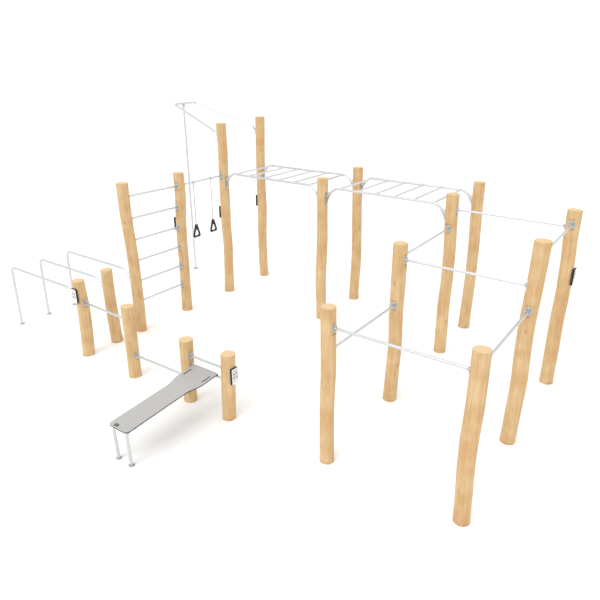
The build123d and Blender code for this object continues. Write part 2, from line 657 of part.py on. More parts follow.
with BuildPart() as wood_screw:
    with BuildSketch(Plane.XZ):
        with BuildLine():
            Polyline((0, WOOD_SCREW_HEAD), (0, -WOOD_SCREW_LENGTH), (WOOD_SCREW_RADIUS, -WOOD_SCREW_LENGTH),
                     (WOOD_SCREW_RADIUS, 0), (WOOD_SCREW_HEAD_RADIUS, 0),
                     (WOOD_SCREW_HEAD_RADIUS, WOOD_SCREW_HEAD / 3),
                     (WOOD_SCREW_RADIUS, WOOD_SCREW_HEAD), close=True)
        make_face()
    revolve(axis=Axis.Z)
with BuildPart() as bench_screws:
    with Locations(*[plane.location for plane in wood_screw_planes]):
        add(wood_screw.part)
save(bench_screws, "bench_screws")

# ------------------------------------------------------------------ sign boards
SIGNS = (
    ("dip_post_front", POSTS["dip_post_front"][3] - DIP_SIGN_DROP, Vector(0, -1, 0)),
    ("bench_post_right", POSTS["bench_post_right"][3] - BENCH_SIGN_DROP, Vector(1, 0, 0)),
    ("wall_ladder_post_rear", 1700.0, Vector(-1, 0, 0)), ("pole_post_front", 1670.0, Vector(-1, 0, 0)),
    ("pole_post_rear", 1680.0, Vector(-1, 0, 0)), ("outer_post_rear", 1710.0, Vector(1, 0, 0)),
)
with BuildPart() as sign_backs:
    with BuildPart(mode=Mode.PRIVATE) as sign_back:
        with BuildSketch():
            RectangleRounded(SIGN_WIDTH, SIGN_HEIGHT, SIGN_CORNER)
        extrude(amount=SIGN_THICK)
        fillet(sign_back.faces().sort_by(Axis.Z)[-1].edges(), SIGN_EDGE)
    sign_planes = [facing(name, z, way, SIGN_SEAT) for name, z, way in SIGNS]
    for (name, _, _), plane in zip(SIGNS, sign_planes):
        seats[name].append((plane, SIGN_HEIGHT + 2 * SIGN_PLAY, 0))
    with Locations(*[plane.location for plane in sign_planes]):
        add(sign_back.part)
save(sign_backs, "sign_backs")

with BuildPart() as sign_faces:
    for plane in sign_planes:
        with BuildSketch(plane.offset(SIGN_THICK)):
            RectangleRounded(SIGN_WIDTH - 2 * FACE_MARGIN, SIGN_HEIGHT - 2 * FACE_MARGIN,
                             SIGN_CORNER - FACE_MARGIN)
        extrude(amount=FACE_THICK)
save(sign_faces, "sign_faces")


# ------------------------------------------------------------------ posts
def make_post(name):
    """One log with its milled flats."""
    with BuildPart() as post:
        for z, _ in CROOKS[name]:
            middle = heart(name, z)
            with BuildSketch(Plane.XY.offset(z)):
                with Locations((middle.X, middle.Y)):
                    Circle(post_radius(name, z))
        loft(ruled=True)
        fillet(post.edges().group_by(Axis.Z)[-1], POST_TOP_ROUND)
        for plane, notch, middle in seats[name]:
            with BuildSketch(plane):
                with Locations((0, middle)):
                    Rectangle(4 * POST_RADIUS, notch)
            extrude(amount=POST_RADIUS, mode=Mode.SUBTRACT)
    save(post, name)


for name in POSTS:
    make_post(name)


# ------------------------------------------------------------------ hanging grips
def grip_place(y, z):
    """Plane on the grip bar's line: local y along the bar, local z up."""
    start = heart("wall_ladder_post_rear", GRIP_BAR)
    end = heart("pole_post_front", GRIP_BAR)
    share = (y - start.Y) / (end.Y - start.Y)
    along = (end - start).normalized()
    return Plane(origin=(start.X + share * (end.X - start.X), y, z), x_dir=along.cross(UP), z_dir=UP)


with BuildPart() as hanger:
    with BuildSketch(Plane.XZ.offset(-HANGER_WIDTH / 2)):
        Circle(BAR_RADIUS + TURN_GAP + HANGER_WALL)
    extrude(amount=HANGER_WIDTH)
    with BuildSketch(Plane.XY.offset(-HANGER_DROP)):
        Circle(HANGER_NECK)
    extrude(amount=HANGER_DROP)
    with BuildSketch(Plane.XZ.offset(-HANGER_WIDTH)):
        Circle(BAR_RADIUS + TURN_GAP)
    extrude(amount=2 * HANGER_WIDTH, mode=Mode.SUBTRACT)

with BuildPart() as ferrules:
    bar_drop = GRIP_BAR - GRIP_PIVOT
    with BuildSketch(Plane.XY.offset(bar_drop - HANGER_DROP - FERRULE_LENGTH)):
        Circle(FERRULE_RADIUS)
        Circle(ROPE_RADIUS + FIT, mode=Mode.SUBTRACT)
    extrude(amount=FERRULE_LENGTH)
    with BuildSketch(Plane.XY.offset(SLEEVE_START)):
        Circle(FERRULE_RADIUS)
    extrude(amount=EYE_TOP - SLEEVE_START)
    with BuildSketch(Plane.YZ.offset(-EYE_THICK / 2)):
        Circle(EYE_RADIUS)
        with Locations((0, SLEEVE_START / 2)):
            Rectangle(2 * ROPE_RADIUS, SLEEVE_START)
        Circle(PIN_RADIUS + FIT, mode=Mode.SUBTRACT)
    extrude(amount=EYE_THICK)
    with BuildSketch(Plane.XY.offset(EYE_FLOOR)):
        Circle(ROPE_RADIUS + FIT)
    extrude(amount=EYE_TOP - EYE_FLOOR, mode=Mode.SUBTRACT)

with BuildPart() as rope:
    with BuildSketch(Plane.XY.offset(EYE_FLOOR)):
        Circle(ROPE_RADIUS)
    extrude(amount=bar_drop - HANGER_DROP - EYE_FLOOR)

with BuildPart() as handle:
    with BuildSketch(Plane.YZ.offset(-HANDLE_THICK / 2)):
        with BuildLine():
            Polyline((-HANDLE_HEAD / 2, HANDLE_TOP), (HANDLE_HEAD / 2, HANDLE_TOP),
                     (HANDLE_BASE / 2, -HANDLE_BOTTOM), (-HANDLE_BASE / 2, -HANDLE_BOTTOM), close=True)
        make_face()
        fillet(vertices().group_by(Axis.Y)[0], HANDLE_BAR)
        fillet(vertices().group_by(Axis.Y)[-1], HANDLE_HEAD / 2 - 2)
        with BuildSketch(mode=Mode.SUBTRACT):
            with BuildLine():
                Polyline((-OPENING_TIP / 2, -OPENING_TOP), (OPENING_TIP / 2, -OPENING_TOP),
                         (OPENING_BASE / 2, HANDLE_BAR - HANDLE_BOTTOM),
                         (-OPENING_BASE / 2, HANDLE_BAR - HANDLE_BOTTOM), close=True)
            make_face()
            fillet(vertices(), OPENING_TIP / 2 - 2)
    extrude(amount=HANDLE_THICK)
    fillet(edges().filter_by(Axis.X, reverse=True), HANDLE_ROUND)
    with BuildSketch(Plane.XZ.offset(-HANDLE_BASE / 2)):
        with Locations((0, (HANDLE_TOP + FERRULE_RADIUS - HEAD_SLOT_DROP) / 2)):
            Rectangle(HEAD_SLOT, HANDLE_TOP + FERRULE_RADIUS + HEAD_SLOT_DROP)
    extrude(amount=HANDLE_BASE, mode=Mode.SUBTRACT)
    with BuildSketch(Plane.YZ.offset(-HANDLE_THICK)):
        Circle(PIN_RADIUS + FIT)
    extrude(amount=2 * HANDLE_THICK, mode=Mode.SUBTRACT)

with BuildPart() as pivot_pin:
    with BuildSketch(Plane.YZ.offset(-HANDLE_THICK / 2 - PIN_HEAD)):
        Circle(PIN_HEAD_RADIUS)
    extrude(amount=PIN_HEAD)
    with BuildSketch(Plane.YZ.offset(-HANDLE_THICK / 2)):
        Circle(PIN_RADIUS)
    extrude(amount=HANDLE_THICK)
    with BuildSketch(Plane.YZ.offset(HANDLE_THICK / 2)):
        Circle(PIN_HEAD_RADIUS)
    extrude(amount=PIN_HEAD)

for side, y in (("front", FRONT_GRIP_Y), ("rear", REAR_GRIP_Y)):
    at_bar = grip_place(y, GRIP_BAR)
    at_pivot = grip_place(y, GRIP_PIVOT)
    for piece, place, node in (
            (hanger, at_bar, "grip_hanger"), (ferrules, at_pivot, "rope_ferrules"),
            (rope, at_pivot, "grip_rope"), (handle, at_pivot, "grip_handle"),
            (pivot_pin, at_pivot, "grip_pin")):
        with BuildPart() as placed:
            with Locations(place.location):
                add(piece.part)
        save(placed, f"{side}_{node}")
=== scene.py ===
"""Looks for an outdoor monkey-bar course on crooked timber posts.

Lengths are metres in the frame of the loaded model: +X along the long side, +Y to the back, +Z up.
The steel, the brackets and the sleeves keep their model shapes and get finishes here. The posts,
the bench board, the hand grips and the two ropes are rebuilt with the detail that the eye expects.
"""

import json
import math

import bmesh
import bpy
from bpy.props import FloatProperty, FloatVectorProperty, IntProperty, PointerProperty
from bpy.types import NodeSocket, Operator, Panel, PropertyGroup
from mathutils import Matrix, Vector, noise


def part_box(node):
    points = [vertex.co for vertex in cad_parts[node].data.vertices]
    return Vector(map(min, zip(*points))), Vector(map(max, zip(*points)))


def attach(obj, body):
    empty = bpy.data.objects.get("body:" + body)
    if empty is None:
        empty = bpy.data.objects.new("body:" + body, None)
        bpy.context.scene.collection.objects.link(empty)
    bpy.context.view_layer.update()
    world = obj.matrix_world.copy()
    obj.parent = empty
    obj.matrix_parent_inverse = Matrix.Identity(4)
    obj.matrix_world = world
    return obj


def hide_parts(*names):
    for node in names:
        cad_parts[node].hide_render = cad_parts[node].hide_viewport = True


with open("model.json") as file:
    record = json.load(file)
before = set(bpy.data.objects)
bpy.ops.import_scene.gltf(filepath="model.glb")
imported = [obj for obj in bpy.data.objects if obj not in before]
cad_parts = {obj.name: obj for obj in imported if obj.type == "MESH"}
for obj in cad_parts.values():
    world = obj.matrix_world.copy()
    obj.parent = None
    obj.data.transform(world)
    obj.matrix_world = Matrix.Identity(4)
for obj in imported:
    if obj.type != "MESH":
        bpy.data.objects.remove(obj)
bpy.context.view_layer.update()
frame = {"nodes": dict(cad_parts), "record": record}

bl_info = {
    "name": "Monkey-bar course",
    "version": (1, 0, 0),
    "blender": (4, 5, 0),
    "location": "3D View > Sidebar > Course",
    "description": "Finishes, ropes, screws, signs and studio for a timber monkey-bar course",
    "category": "Object",
}

MM = 0.001
UP = Vector((0, 0, 1))
POSTS = sorted(name for name in frame["nodes"] if "_post" in name)
SWAN_NECKED = ("dip_bar", "pole_frame", "monkey_ladder")
SIDES = ("front", "rear")

FLOOR_REACH = 60.0  # from the middle of the studio floor to each side
LABEL_LINES = ((0.62, 0.22), (0.44, -0.02), (0.52, -0.24))  # shares of width, and of height from middle
# plain blocks and lines of a sign, in millimetres: x, y, width, height
SIGN_MARKS = ((0, 84, 86, 14), (-24, 40, 38, 46), (24, 40, 38, 46), (-24, -16, 38, 46),
              (24, -16, 38, 46), (0, -58, 86, 4), (0, -70, 86, 4), (-12, -82, 62, 4))
PATTERN_STEP = (3.1, -2.3, 1.7)  # each next log shows a part of the grain this far away
FLUTES = (22, 1.6)  # long flutes: pattern turns per metre, across and along a log
SWELLS = (7, 5.0)  # soft swellings, in the same way
ROPE_STEPS = 30
SCREW_STEPS = 24


def linear(code):
    """Linear colour of an sRGB hex code."""
    parts = [int(code[at:at + 2], 16) / 255 for at in (1, 3, 5)]
    return tuple(c / 12.92 if c <= 0.04045 else ((c + 0.055) / 1.055) ** 2.4 for c in parts)


def rgba(colour):
    """A colour with full alpha."""
    return (*colour, 1.0)


# ------------------------------------------------------------------ settings
class StudioSettings(PropertyGroup):
    camera_place: FloatVectorProperty(
        name="Camera place", description="Where the camera stands",
        default=(7.667, -4.770, 4.488), subtype="TRANSLATION", unit="LENGTH")
    camera_tilt: FloatProperty(
        name="Camera tilt", description="Angle of the view from straight down",
        default=math.radians(67.057), subtype="ANGLE", unit="ROTATION")
    camera_turn: FloatProperty(
        name="Camera turn", description="Turn of the view about the vertical, from +Y",
        default=math.radians(35.383), subtype="ANGLE", unit="ROTATION")
    lens: FloatProperty(
        name="Lens", description="Focal length on a 36 mm wide sensor", default=34.30, unit="CAMERA")
    sky: FloatProperty(
        name="Sky light", description="Strength of the even white light all round", default=1.06)
    sun: FloatProperty(
        name="Key light", description="Strength of the broad key light", default=0.9)
    sun_width: FloatProperty(
        name="Key light width", description="Angle that the key light fills",
        default=math.radians(35), subtype="ANGLE", unit="ROTATION")
    sun_turn: FloatVectorProperty(
        name="Key light turn", description="Direction of the key light, from straight down",
        default=(math.radians(38), math.radians(-12), math.radians(10)), subtype="EULER",
        unit="ROTATION")
    floor_colour: FloatVectorProperty(
        name="Floor", description="Colour of the floor", default=linear("#FDFDFC"), subtype="COLOR")


class TimberSettings(PropertyGroup):
    heartwood: FloatVectorProperty(
        name="Timber", description="Main colour of the sanded logs",
        default=linear("#D7B88A"), subtype="COLOR")
    pale: FloatVectorProperty(
        name="Pale streaks", description="Colour of the palest streaks",
        default=linear("#DFC397"), subtype="COLOR")
    warm: FloatVectorProperty(
        name="Warm streaks", description="Colour of the darkest long streaks",
        default=linear("#D0AC7C"), subtype="COLOR")
    knot: FloatVectorProperty(
        name="Knots", description="Colour of the knots' hearts",
        default=linear("#9E7444"), subtype="COLOR")
    knot_spacing: FloatProperty(
        name="Knot spacing", description="Distance between knots round a log, about twice that along it",
        default=210 * MM, unit="LENGTH")
    streak_width: FloatProperty(
        name="Streak width", description="Width of the broad streaks", default=38 * MM, unit="LENGTH")
    grain_width: FloatProperty(
        name="Grain width", description="Width of the fine grain lines", default=3.5 * MM, unit="LENGTH")
    ring_width: FloatProperty(
        name="Ring width", description="Mean width of a year ring", default=5 * MM, unit="LENGTH")
    flute_depth: FloatProperty(
        name="Flute depth", description="How far the sanded surface waves in and out",
        default=1.3 * MM, unit="LENGTH")
    slice_height: FloatProperty(
        name="Slice height", description="Height of the mesh slices of a post",
        default=60 * MM, unit="LENGTH")
    sectors: IntProperty(
        name="Sectors", description="Number of mesh sectors round half a post", default=14)


class SteelSettings(PropertyGroup):
    tube: FloatVectorProperty(
        name="Tube", description="Colour of the galvanised tube",
        default=linear("#D9DBDD"), subtype="COLOR")
    plate: FloatVectorProperty(
        name="Fittings", description="Colour of sockets, brackets and flanges",
        default=linear("#C3C5C6"), subtype="COLOR")
    bright: FloatVectorProperty(
        name="Bright parts", description="Colour of screws, hangers and sleeves",
        default=linear("#D6D6D5"), subtype="COLOR")
    spangle: FloatProperty(
        name="Spangle", description="Width of a zinc crystal", default=9 * MM, unit="LENGTH")
    screw_radius: FloatProperty(
        name="Screw head radius", description="Radius of a button head", default=8 * MM, unit="LENGTH")
    screw_height: FloatProperty(
        name="Screw head height", description="Height of a button head", default=4.4 * MM, unit="LENGTH")
    screw_key: FloatProperty(
        name="Hex key", description="Width of the hex recess across its corners",
        default=6.9 * MM, unit="LENGTH")
    socket_spread: FloatProperty(
        name="Socket screw spread", description="Height of a socket's screws above and below its bar",
        default=38 * MM, unit="LENGTH")
    bracket_across: FloatProperty(
        name="Bracket screw spread", description="Distance of a bracket's screws from its web",
        default=19 * MM, unit="LENGTH")
    bracket_above: FloatProperty(
        name="Bracket head", description="Height of a bracket's plate above its tube's line",
        default=44 * MM, unit="LENGTH")
    bracket_drops: FloatVectorProperty(
        name="Bracket screw drops", description="Depths of the screws below the tube's line",
        default=(66 * MM, 152 * MM), size=2, unit="LENGTH")
    plate_thickness: FloatProperty(
        name="Plate thickness", description="Thickness of a bracket's plate", default=8 * MM,
        unit="LENGTH")
    end_reach: FloatProperty(
        name="Bar end", description="Length at a bar's end over which the end's middle is taken",
        default=25 * MM, unit="LENGTH")


class BenchSettings(PropertyGroup):
    face: FloatVectorProperty(
        name="Board", description="Colour of the board's face",
        default=linear("#B4B3B1"), subtype="COLOR")
    core: FloatVectorProperty(
        name="Board core", description="Colour of the sawn edge", default=linear("#232325"),
        subtype="COLOR")
    edge: FloatProperty(
        name="Edge rounding", description="Rounding of the board's edges",
        default=2.5 * MM, unit="LENGTH")
    label_width: FloatProperty(
        name="Label width", description="Width of the plain label", default=62 * MM, unit="LENGTH")
    label_height: FloatProperty(
        name="Label height", description="Height of the plain label", default=44 * MM, unit="LENGTH")
    label_shift: FloatProperty(
        name="Label shift", description="Place of the label beside the board's middle line",
        default=-60 * MM, unit="LENGTH")
    label_inset: FloatProperty(
        name="Label inset", description="Place of the label up from the board's low end",
        default=43 * MM, unit="LENGTH")


class SignSettings(PropertyGroup):
    shell: FloatVectorProperty(
        name="Shell", description="Colour of the moulded shell", default=linear("#0F0E0E"),
        subtype="COLOR")
    panel: FloatVectorProperty(
        name="Panel", description="Colour of the sign's panel", default=linear("#EFEFED"),
        subtype="COLOR")
    ink: FloatVectorProperty(
        name="Ink", description="Colour of the plain marks", default=linear("#A6A9AB"),
        subtype="COLOR")


class GripSettings(PropertyGroup):
    rubber: FloatVectorProperty(
        name="Rubber", description="Colour of the handles", default=linear("#17181A"),
        subtype="COLOR")
    rope: FloatVectorProperty(
        name="Rope", description="Colour of the rope", default=linear("#B9BAB8"), subtype="COLOR")
    rope_diameter: FloatProperty(
        name="Rope diameter", description="Diameter over the strands", default=16 * MM, unit="LENGTH")
    rope_lay: FloatProperty(
        name="Rope lay", description="Length in which a strand goes once round",
        default=56 * MM, unit="LENGTH")
    skin: FloatProperty(
        name="Handle mesh", description="Edge length of the handle's mesh", default=2 * MM,
        unit="LENGTH")
    rib_pitch: FloatProperty(
        name="Rib pitch", description="Pitch of the ribs on a handle's head", default=9 * MM,
        unit="LENGTH")
    rib_start: FloatProperty(
        name="Lowest rib", description="Depth of the lowest rib below the handle's top",
        default=118 * MM, unit="LENGTH")
    rib_end: FloatProperty(
        name="Highest rib", description="Depth of the highest rib below the handle's top",
        default=48 * MM, unit="LENGTH")
    rib_height: FloatProperty(
        name="Rib height", description="Height of the ribs on a handle's head", default=1 * MM,
        unit="LENGTH")


# ------------------------------------------------------------------ helpers for materials
def add_node(tree, kind, inputs=None, **settings):
    """Add one shader node; inputs maps a socket to a constant or to the output that feeds it."""
    made = tree.nodes.new("ShaderNode" + kind)
    for name, value in settings.items():
        setattr(made, name, value)
    for socket, value in (inputs or {}).items():
        if isinstance(value, NodeSocket):
            tree.links.new(value, made.inputs[socket])
        else:
            made.inputs[socket].default_value = value
    return made


def start_material(name, **constants):
    """A material with one principled shader whose constants are set on its own sockets."""
    material = bpy.data.materials.new(name)
    material.use_nodes = True
    tree = material.node_tree
    shader = tree.nodes["Principled BSDF"]
    for socket, value in constants.items():
        shader.inputs[socket.replace("_", " ")].default_value = value
    return material, tree, shader


def ramp(tree, factor, stops):
    """Colour ramp of (place, colour) stops."""
    made = add_node(tree, "ValToRGB", {0: factor})
    elements = made.color_ramp.elements
    while len(elements) < len(stops):
        elements.new(0.5)
    for element, (place, colour) in zip(elements, stops):
        element.position = place
        element.color = rgba(colour)
    return made.outputs["Color"]


def mixed(tree, factor, first, second, blend="MIX"):
    """Two colours mixed by a factor."""
    made = add_node(tree, "Mix", data_type="RGBA", blend_type=blend)
    for socket, value in zip((made.inputs[0], made.inputs[6], made.inputs[7]), (factor, first, second)):
        if isinstance(value, NodeSocket):
            tree.links.new(value, socket)
        else:
            socket.default_value = value
    return made.outputs[2]


def bump(tree, shader, height, distance, strength=1.0):
    """Fine relief of the shader's surface, distance metres deep."""
    made = add_node(tree, "Bump", {"Height": height, "Distance": distance, "Strength": strength})
    tree.links.new(made.outputs["Normal"], shader.inputs["Normal"])


def around(value, spread):
    """A range of that spread round a value."""
    return value - spread, value + spread


def vary_roughness(tree, shader, factor, low, high):
    """Roughness that follows a pattern from low to high."""
    made = add_node(tree, "MapRange", {"Value": factor, "To Min": low, "To Max": high})
    tree.links.new(made.outputs["Result"], shader.inputs["Roughness"])


# ------------------------------------------------------------------ materials
def robinia_log(timber):
    """Robinia log, debarked and sanded: honey-coloured with long soft streaks and a few knots.

    Sanding leaves a matt skin on which only the fine grain catches the light.
    """
    material, tree, shader = start_material("Robinia log, debarked and sanded", IOR=1.5, Roughness=0.6)
    shader.inputs["Specular IOR Level"].default_value = 0.35
    place = add_node(tree, "Attribute", attribute_name="timber_place", attribute_type="GEOMETRY")
    along = add_node(tree, "VectorMath", {0: place.outputs["Vector"], 1: (1, 1, 0.07)}, operation="MULTIPLY")
    streaks = add_node(tree, "TexNoise", {
        "Vector": along.outputs[0], "Scale": 1 / timber.streak_width, "Detail": 4.0, "Roughness": 0.55})
    colour = ramp(tree, streaks.outputs["Fac"], (
        (0.30, timber.warm), (0.50, timber.heartwood), (0.70, timber.pale)))
    stretched = add_node(tree, "VectorMath", {0: place.outputs["Vector"], 1: (1, 1, 0.025)},
                         operation="MULTIPLY")
    grain = add_node(tree, "TexNoise", {
        "Vector": stretched.outputs[0], "Scale": 1 / timber.grain_width, "Detail": 3.0, "Roughness": 0.6})
    grain_tone = ramp(tree, grain.outputs["Fac"], ((0.35, linear("#D9D2C8")), (0.60, (1, 1, 1))))
    colour = mixed(tree, 0.55, colour, grain_tone, "MULTIPLY")
    # a knot is up to about 50 mm wide with its soft rim, and twice as long
    knot_place = add_node(tree, "VectorMath", {0: place.outputs["Vector"], 1: (1, 1, 0.45)},
                          operation="MULTIPLY")
    knots = add_node(tree, "TexVoronoi", {"Vector": knot_place.outputs[0], "Scale": 1 / timber.knot_spacing})
    knot_mask = add_node(tree, "MapRange", {
        "Value": knots.outputs["Distance"], "From Min": 0.03, "From Max": 0.12, "To Min": 0.5,
        "To Max": 0.0}, interpolation_type="SMOOTHSTEP")
    colour = mixed(tree, knot_mask.outputs["Result"], colour, rgba(timber.knot))
    # patches a hand wide where the sander went deeper
    patches = add_node(tree, "TexNoise", {"Vector": place.outputs["Vector"], "Scale": 1 / 0.22,
                                          "Detail": 1.0})
    patch_tone = ramp(tree, patches.outputs["Fac"], ((0.35, linear("#F3E7DA")), (0.65, (1, 1, 1))))
    colour = mixed(tree, 0.8, colour, patch_tone, "MULTIPLY")
    tree.links.new(colour, shader.inputs["Base Color"])
    vary_roughness(tree, shader, grain.outputs["Fac"], *around(0.62, 0.10))
    bump(tree, shader, grain.outputs["Fac"], 0.5 * MM, 0.5)
    return material


def robinia_end(timber):
    """Robinia end grain, sawn and sanded: paler and duller, with fine year rings round the heart."""
    material, tree, shader = start_material("Robinia end grain, sawn", IOR=1.5, Roughness=0.7)
    shader.inputs["Specular IOR Level"].default_value = 0.25
    place = add_node(tree, "Attribute", attribute_name="timber_place", attribute_type="GEOMETRY")
    flat = add_node(tree, "VectorMath", {0: place.outputs["Vector"], 1: (1, 1, 0)}, operation="MULTIPLY")
    wander = add_node(tree, "TexNoise", {"Vector": flat.outputs[0], "Scale": 1 / 0.06, "Detail": 2.0})
    swing = add_node(tree, "Math", {0: wander.outputs["Fac"], 1: 2.0 * timber.ring_width},
                     operation="MULTIPLY")
    reach = add_node(tree, "VectorMath", {0: flat.outputs[0]}, operation="LENGTH")
    wavy = add_node(tree, "Math", {0: reach.outputs["Value"], 1: swing.outputs[0]}, operation="ADD")
    turns = add_node(tree, "Math", {0: wavy.outputs[0], 1: 2 * math.pi / timber.ring_width},
                     operation="MULTIPLY")
    rings = add_node(tree, "Math", {0: turns.outputs[0]}, operation="SINE")
    colour = ramp(tree, rings.outputs[0], (
        (0.0, timber.pale), (0.75, timber.pale), (1.0, timber.warm)))
    colour = mixed(tree, 0.55, colour, rgba(timber.pale))
    tree.links.new(colour, shader.inputs["Base Color"])
    bump(tree, shader, rings.outputs[0], 0.2 * MM, 0.4)
    return material


def galvanised(name, colour, spangle, roughness):
    """Hot-dip galvanised steel: light satin grey with faint zinc crystals, no clear reflections."""
    material, tree, shader = start_material(name, Metallic=1.0, Roughness=roughness)
    place = add_node(tree, "TexCoord")
    crystals = add_node(tree, "TexVoronoi", {
        "Vector": place.outputs["Object"], "Scale": 1 / spangle, "Randomness": 1.0})
    tone = add_node(tree, "RGBToBW", {"Color": crystals.outputs["Color"]})
    dull = tuple(0.86 * c for c in colour)
    tree.links.new(ramp(tree, tone.outputs[0], ((0.15, dull), (0.85, colour))), shader.inputs["Base Color"])
    vary_roughness(tree, shader, tone.outputs[0], *around(roughness, 0.06))
    return material


def stainless_turned(colour):
    """Stainless steel, turned: brighter than the zinc, with fine tool lines about 0.4 mm apart."""
    material, tree, shader = start_material("Stainless steel, turned", Metallic=1.0, Roughness=0.3)
    place = add_node(tree, "TexCoord")
    lines = add_node(tree, "TexNoise", {
        "Vector": place.outputs["Object"], "Scale": 1 / (0.4 * MM), "Detail": 2.0})
    tone = ramp(tree, lines.outputs["Fac"], ((0.3, tuple(0.9 * c for c in colour)), (0.7, colour)))
    tree.links.new(tone, shader.inputs["Base Color"])
    vary_roughness(tree, shader, lines.outputs["Fac"], 0.24, 0.38)
    return material


def grained(name, colour, roughness, grit, depth, ior, contrast=0.92):
    """A moulded or pressed plastic or rubber with an even fine grain, grit metres wide."""
    material, tree, shader = start_material(name, IOR=ior, Roughness=roughness)
    place = add_node(tree, "TexCoord")
    grit_noise = add_node(tree, "TexNoise", {
        "Vector": place.outputs["Object"], "Scale": 1 / grit, "Detail": 2.0, "Roughness": 0.6})
    shade = tuple(contrast * c for c in colour)
    tree.links.new(ramp(tree, grit_noise.outputs["Fac"], ((0.35, shade), (0.62, colour))),
                   shader.inputs["Base Color"])
    handled = add_node(tree, "TexNoise", {"Vector": place.outputs["Object"], "Scale": 1 / (60 * MM)})
    vary_roughness(tree, shader, handled.outputs["Fac"], *around(roughness, 0.08))
    bump(tree, shader, grit_noise.outputs["Fac"], depth, 0.6)
    return material


def laid_rope_fibre(colour):
    """Polyester rope, laid in three strands: soft matt fibre that runs along the strands."""
    material, tree, shader = start_material(
        "Polyester rope, laid", IOR=1.5, Roughness=0.85, Sheen_Weight=0.25, Sheen_Roughness=0.5)
    fibre = add_node(tree, "Attribute", attribute_name="fibre", attribute_type="GEOMETRY")
    # yarns about 1.5 mm wide, long along the strand
    yarns = add_node(tree, "TexNoise", {
        "Vector": fibre.outputs["Vector"], "Scale": 1.0, "Detail": 3.0, "Roughness": 0.7})
    dark = tuple(0.62 * c for c in colour)
    tree.links.new(ramp(tree, yarns.outputs["Fac"], ((0.30, dark), (0.65, colour))),
                   shader.inputs["Base Color"])
    bump(tree, shader, yarns.outputs["Fac"], 0.4 * MM, 0.8)
    return material


# ------------------------------------------------------------------ helpers for meshes
def finished(source, name, body, materials, crease=40):
    """A new object from a bmesh, smooth between its creases, riding on a body."""
    mesh = bpy.data.meshes.new(name)
    source.to_mesh(mesh)
    source.free()
    for material in materials:
        mesh.materials.append(material)
    mesh.shade_smooth()
    mesh.set_sharp_from_angle(angle=math.radians(crease))
    piece = bpy.data.objects.new(name, mesh)
    bpy.context.scene.collection.objects.link(piece)
    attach(piece, body)
    return piece


def model_copy(node):
    """A bmesh copy of a model node, with its seams welded."""
    copy = bmesh.new()
    copy.from_mesh(frame["nodes"][node].data)
    bmesh.ops.remove_doubles(copy, verts=copy.verts, dist=0.01 * MM)
    return copy


def loose_parts(node):
    """Lists of face (centre, normal, area, corners), one list for each separate solid of a node."""
    copy = model_copy(node)
    waiting = set(copy.faces)
    parts = []
    while waiting:
        stack = [waiting.pop()]
        part = []
        while stack:
            face = stack.pop()
            part.append((face.calc_center_median(), face.normal.copy(), face.calc_area(),
                         [corner.co.copy() for corner in face.verts]))
            for edge in face.edges:
                for other in edge.link_faces:
                    if other in waiting:
                        waiting.discard(other)
                        stack.append(other)
        parts.append(part)
    copy.free()
    parts.sort(key=lambda part: tuple(round(c, 3) for c in sum((f[0] for f in part), Vector()) / len(part)))
    return parts


def widest_side(part):
    """The direction that most of a solid's flat area faces, and the corners on that side."""
    totals = {}
    for _, normal, area, _ in part:
        key = tuple(round(c, 2) for c in normal)
        totals[key] = totals.get(key, 0) + area
    key = max(totals, key=totals.get)
    corners = [c for _, normal, _, cs in part if tuple(round(c, 2) for c in normal) == key for c in cs]
    return Vector(key).normalized(), corners


def middle_of(points):
    """Centre of the box round some points."""
    lows = [min(p[axis] for p in points) for axis in range(3)]
    highs = [max(p[axis] for p in points) for axis in range(3)]
    return (Vector(lows) + Vector(highs)) / 2


def standing_frame(origin, outward):
    """Matrix with local z outward, local y up as near as it can be."""
    z_axis = outward.normalized()
    x_axis = UP.cross(z_axis).normalized()
    y_axis = z_axis.cross(x_axis)
    return Matrix.Translation(origin) @ Matrix((x_axis, y_axis, z_axis)).transposed().to_4x4()


def add_rings(target, place, rings, material=0):
    """Closed skin through rings of equally many points, capped at both ends."""
    loops = [[target.verts.new(place @ Vector(point)) for point in ring] for ring in rings]
    for low, high in zip(loops, loops[1:]):
        for at, corner in enumerate(low):
            beside = (at + 1) % len(low)
            face = target.faces.new((corner, low[beside], high[beside], high[at]))
            face.material_index = material
    target.faces.new(reversed(loops[0])).material_index = material
    target.faces.new(loops[-1]).material_index = material


def circle(radius, height):
    """Points round a circle at local z = height."""
    angles = [2 * math.pi * step / SCREW_STEPS for step in range(SCREW_STEPS)]
    return [(radius * math.cos(angle), radius * math.sin(angle), height) for angle in angles]


def hexagon(corner_radius, height):
    """Points along a hexagon, one for each step of a circle."""
    points = []
    for step in range(SCREW_STEPS):
        angle = 2 * math.pi * step / SCREW_STEPS
        off = (angle + math.pi / 6) % (math.pi / 3) - math.pi / 6
        reach = corner_radius * math.cos(math.pi / 6) / math.cos(math.pi / 6 - abs(off))
        points.append((reach * math.cos(angle), reach * math.sin(angle), height))
    return points


def add_button_head(target, place, steel):
    """Button-head screw with a hex recess, standing on local z = 0."""
    radius = steel.screw_radius
    height = steel.screw_height
    key = steel.screw_key / 2
    dome = ((1.0, 0.0), (1.0, 0.16), (0.93, 0.50), (0.78, 0.80), (0.56, 0.97))  # shares of radius, height
    rings = [circle(radius * r, height * h) for r, h in dome]
    rings += [hexagon(key * 1.06, height), hexagon(key, height * 0.93), hexagon(key, height * 0.35)]
    add_rings(target, place, rings)


